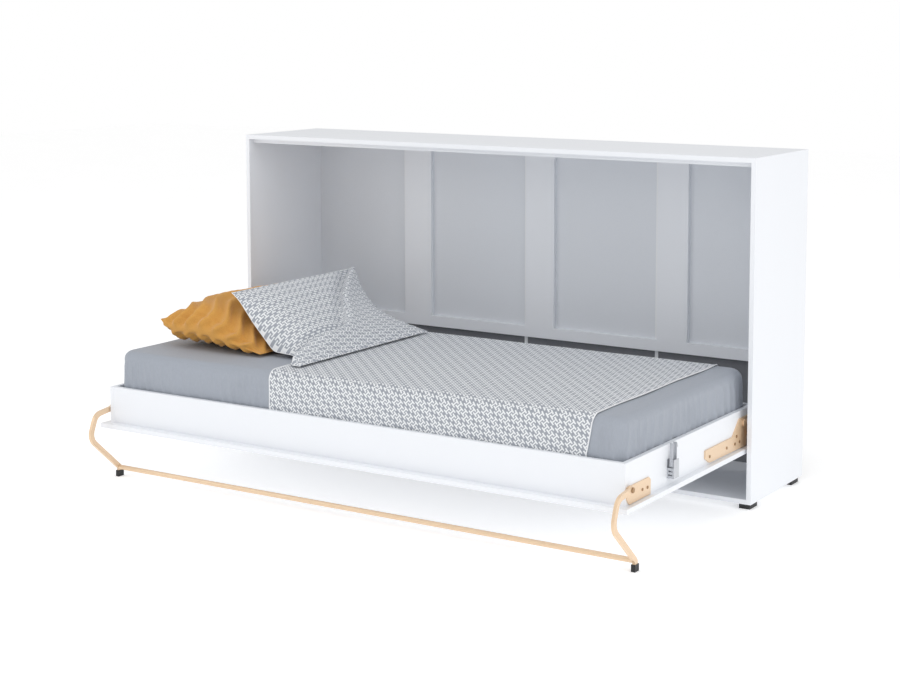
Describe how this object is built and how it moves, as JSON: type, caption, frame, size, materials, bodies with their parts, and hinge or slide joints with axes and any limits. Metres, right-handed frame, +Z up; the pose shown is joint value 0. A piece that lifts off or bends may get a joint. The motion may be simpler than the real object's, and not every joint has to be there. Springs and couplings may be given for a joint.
{
  "type": "horizontal single wall bed",
  "caption": "Single bed with mattress and bedding that folds up sideways into a low white cabinet, with a bent leg frame, side hinges and a catch.",
  "frame": {"origin": "on the floor, under the middle of the open bed's whole box: halfway between the front of the leg frame and the cabinet's back", "axes": "+X along the bed to the right seen from the front, +Y to the wall, +Z up"},
  "size_m": [2.13, 1.3753, 1.175],
  "materials": {
    "white_board": "satin white melamine on chipboard with matching edge band",
    "white_hardboard": "matt white lacquered hardboard",
    "grey_hardboard": "grey lacquered hardboard",
    "white_plastic": "extruded PVC",
    "black_plastic": "moulded, fine grain",
    "copper_lacquer": "pale copper lacquer, satin",
    "zinc_steel": "bright zinc plated",
    "white_enamel": "white powder coat",
    "bronze_bush": "sintered bronze",
    "pine": "planed pine",
    "birch_ply": "bent birch plywood",
    "mattress_ticking": "knitted ticking",
    "sheet_cotton": "blue-grey cotton sateen",
    "key_pattern_weave": "grey cotton printed with white interlocking bars",
    "mustard_cotton": "mustard crinkled cotton"
  },
  "bodies": {
    "cabinet": {"top_panel": "white_board", "inner_top_board": "white_board", "left_side_panel": "white_board", "right_side_panel": "white_board", "bottom_panel": "white_board", "back_sheets": "white_hardboard", "lower_back_sheets": "grey_hardboard", "back_joint_strips": "white_plastic", "back_slat_left": "white_board", "back_slat_middle": "white_board", "back_slat_right": "white_board", "back_rail": "white_board", "cabinet_feet": "black_plastic", "wall_brackets": "white_enamel", "hinge_bracket_left": "copper_lacquer", "hinge_bracket_right": "copper_lacquer", "hinge_pin_left": "zinc_steel", "hinge_pin_right": "zinc_steel", "hinge_bracket_screws": "zinc_steel", "catch_striker": "zinc_steel"},
    "bed_box": {"door_panel": "white_board", "front_board": "white_board", "rear_board": "white_board", "left_end_board": "white_board", "right_end_board": "white_board", "slat_ledge_front": "pine", "slat_ledge_rear": "pine", "bed_slats": "birch_ply", "slat_caps": "black_plastic", "corner_brackets": "zinc_steel", "mattress": "mattress_ticking", "fitted_sheet": "sheet_cotton", "bedspread": "key_pattern_weave", "grey_pillow": "key_pattern_weave", "mustard_pillow": "mustard_cotton", "hinge_arm_left": "copper_lacquer", "hinge_arm_right": "copper_lacquer", "hinge_arm_screws": "zinc_steel", "leg_plate_left": "copper_lacquer", "leg_plate_right": "copper_lacquer", "leg_plate_screws": "zinc_steel", "leg_pivot_bolt_left": "zinc_steel", "leg_pivot_bolt_right": "zinc_steel", "catch_housing": "zinc_steel", "catch_pin": "zinc_steel"},
    "leg_frame": {"leg_arm_left": "copper_lacquer", "leg_arm_right": "copper_lacquer", "leg_crossbar": "copper_lacquer", "foot_cap_left": "black_plastic", "foot_cap_right": "black_plastic"},
    "hinge_bushes": {"hinge_bush_left": "bronze_bush", "hinge_bush_right": "bronze_bush"},
    "catch_fork": {"catch_fork": "zinc_steel"}
  },
  "joints": [
    {"name": "bed_lift", "type": "hinge", "parent": "cabinet", "child": "hinge_bushes", "pos_m": [0, 0.28667, 0.249], "axis": [-1, 0, 0], "range_deg": [0, 5]},
    {"name": "bed_fold", "type": "hinge", "parent": "hinge_bushes", "child": "bed_box", "pos_m": [0, 0.28667, 0.249], "axis": [-1, 0, 0], "range_deg": [0, 85], "deforming": ["grey_pillow", "mustard_pillow"]},
    {"name": "leg_fold", "type": "hinge", "parent": "bed_box", "child": "leg_frame", "pos_m": [0, -0.57233, 0.253], "axis": [-1, 0, 0], "range_deg": [0, 191.5]},
    {"name": "catch_sway", "type": "hinge", "parent": "bed_box", "child": "catch_fork", "pos_m": [1.032, -0.29733, 0.24], "axis": [1, 0, 0], "range_deg": [0, 7], "stiffness_Nm_per_rad": 4}
  ],
  "couplings": [
    {"joint": "leg_fold", "follows": "bed_lift", "ratio": 38.3}
  ]
}
